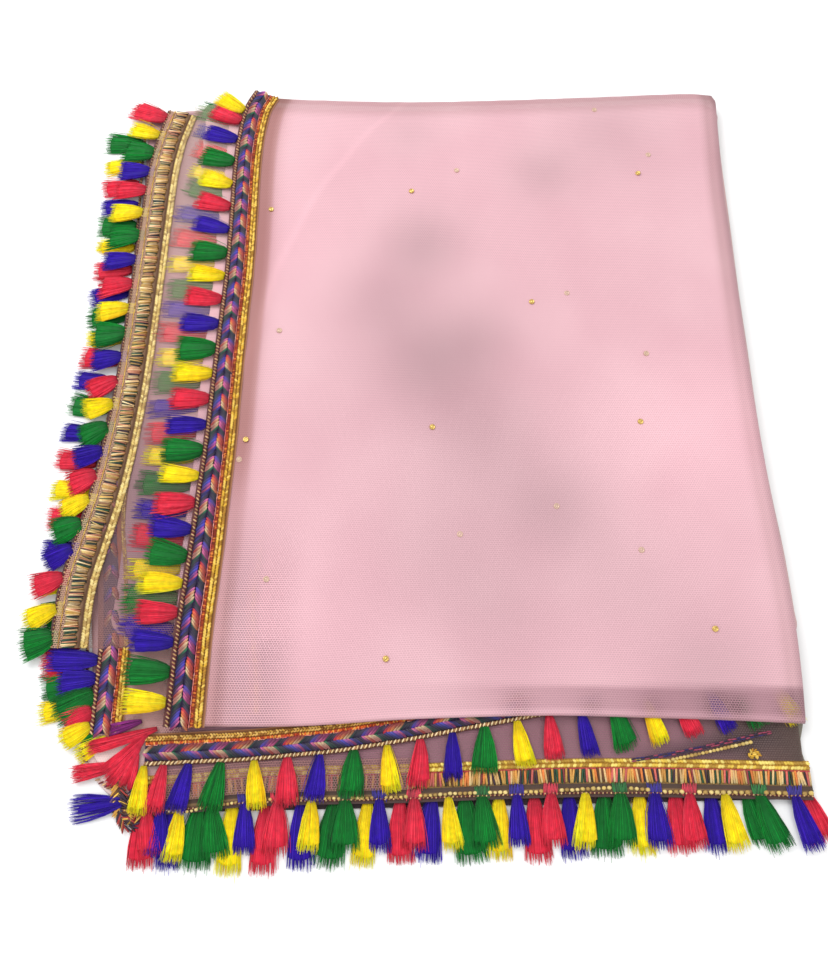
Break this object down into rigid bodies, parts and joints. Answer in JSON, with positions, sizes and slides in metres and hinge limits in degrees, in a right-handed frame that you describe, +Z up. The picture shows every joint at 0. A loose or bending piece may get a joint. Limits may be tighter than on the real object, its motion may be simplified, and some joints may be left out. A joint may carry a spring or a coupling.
{
  "type": "folded dupatta stole",
  "caption": "Long see-through net stole, folded into a flat oblong stack, with a woven braid border and a fringe of short cut tassels along its edges.",
  "frame": {"origin": "bottom centre of the folded stole's bounding box, on the surface it lies on", "axes": "+X to the right with the bordered long edges at -X and the widthwise fold at +X, +Y away from the bordered ends, +Z up"},
  "size_m": [0.5772, 0.6662, 0.016],
  "materials": {
    "net": "soft see-through hexagonal net",
    "gold_cord": "twisted metallic thread cord",
    "chain_cord": "chain-stitched gold thread",
    "chevron_braid": "woven chevron braid in many colours",
    "ribbed_band": "wrong side of the braid, in crosswise bundles",
    "tassel_thread": "soft cut thread tassels on a crocheted edge"
  },
  "bodies": {
    "root": {"chain_cord_end_lower": "chain_cord", "chain_cord_second_left": "chain_cord", "chevron_braid_end_upper": "chevron_braid", "chevron_braid_third_left": "chevron_braid", "chevron_braid_top_left": "chevron_braid", "folded_layers": "net", "gold_cord_end_upper": "gold_cord", "gold_cord_third_left": "gold_cord", "gold_cord_top_left": "gold_cord", "net_panel_end": "net", "net_panel_second": "net", "net_panel_third": "net", "net_panel_top": "net", "ribbed_band_end_lower": "ribbed_band", "ribbed_band_second_left": "ribbed_band", "tassel_edge_corner_turn": "tassel_thread", "tassel_edge_end_lower": "tassel_thread", "tassel_edge_end_lowest": "tassel_thread", "tassel_edge_end_upper": "tassel_thread", "tassel_edge_left_lowest": "tassel_thread", "tassel_edge_second_left": "tassel_thread", "tassel_edge_third_left": "tassel_thread", "tassel_edge_top_left": "tassel_thread"}
  },
  "joints": []
}
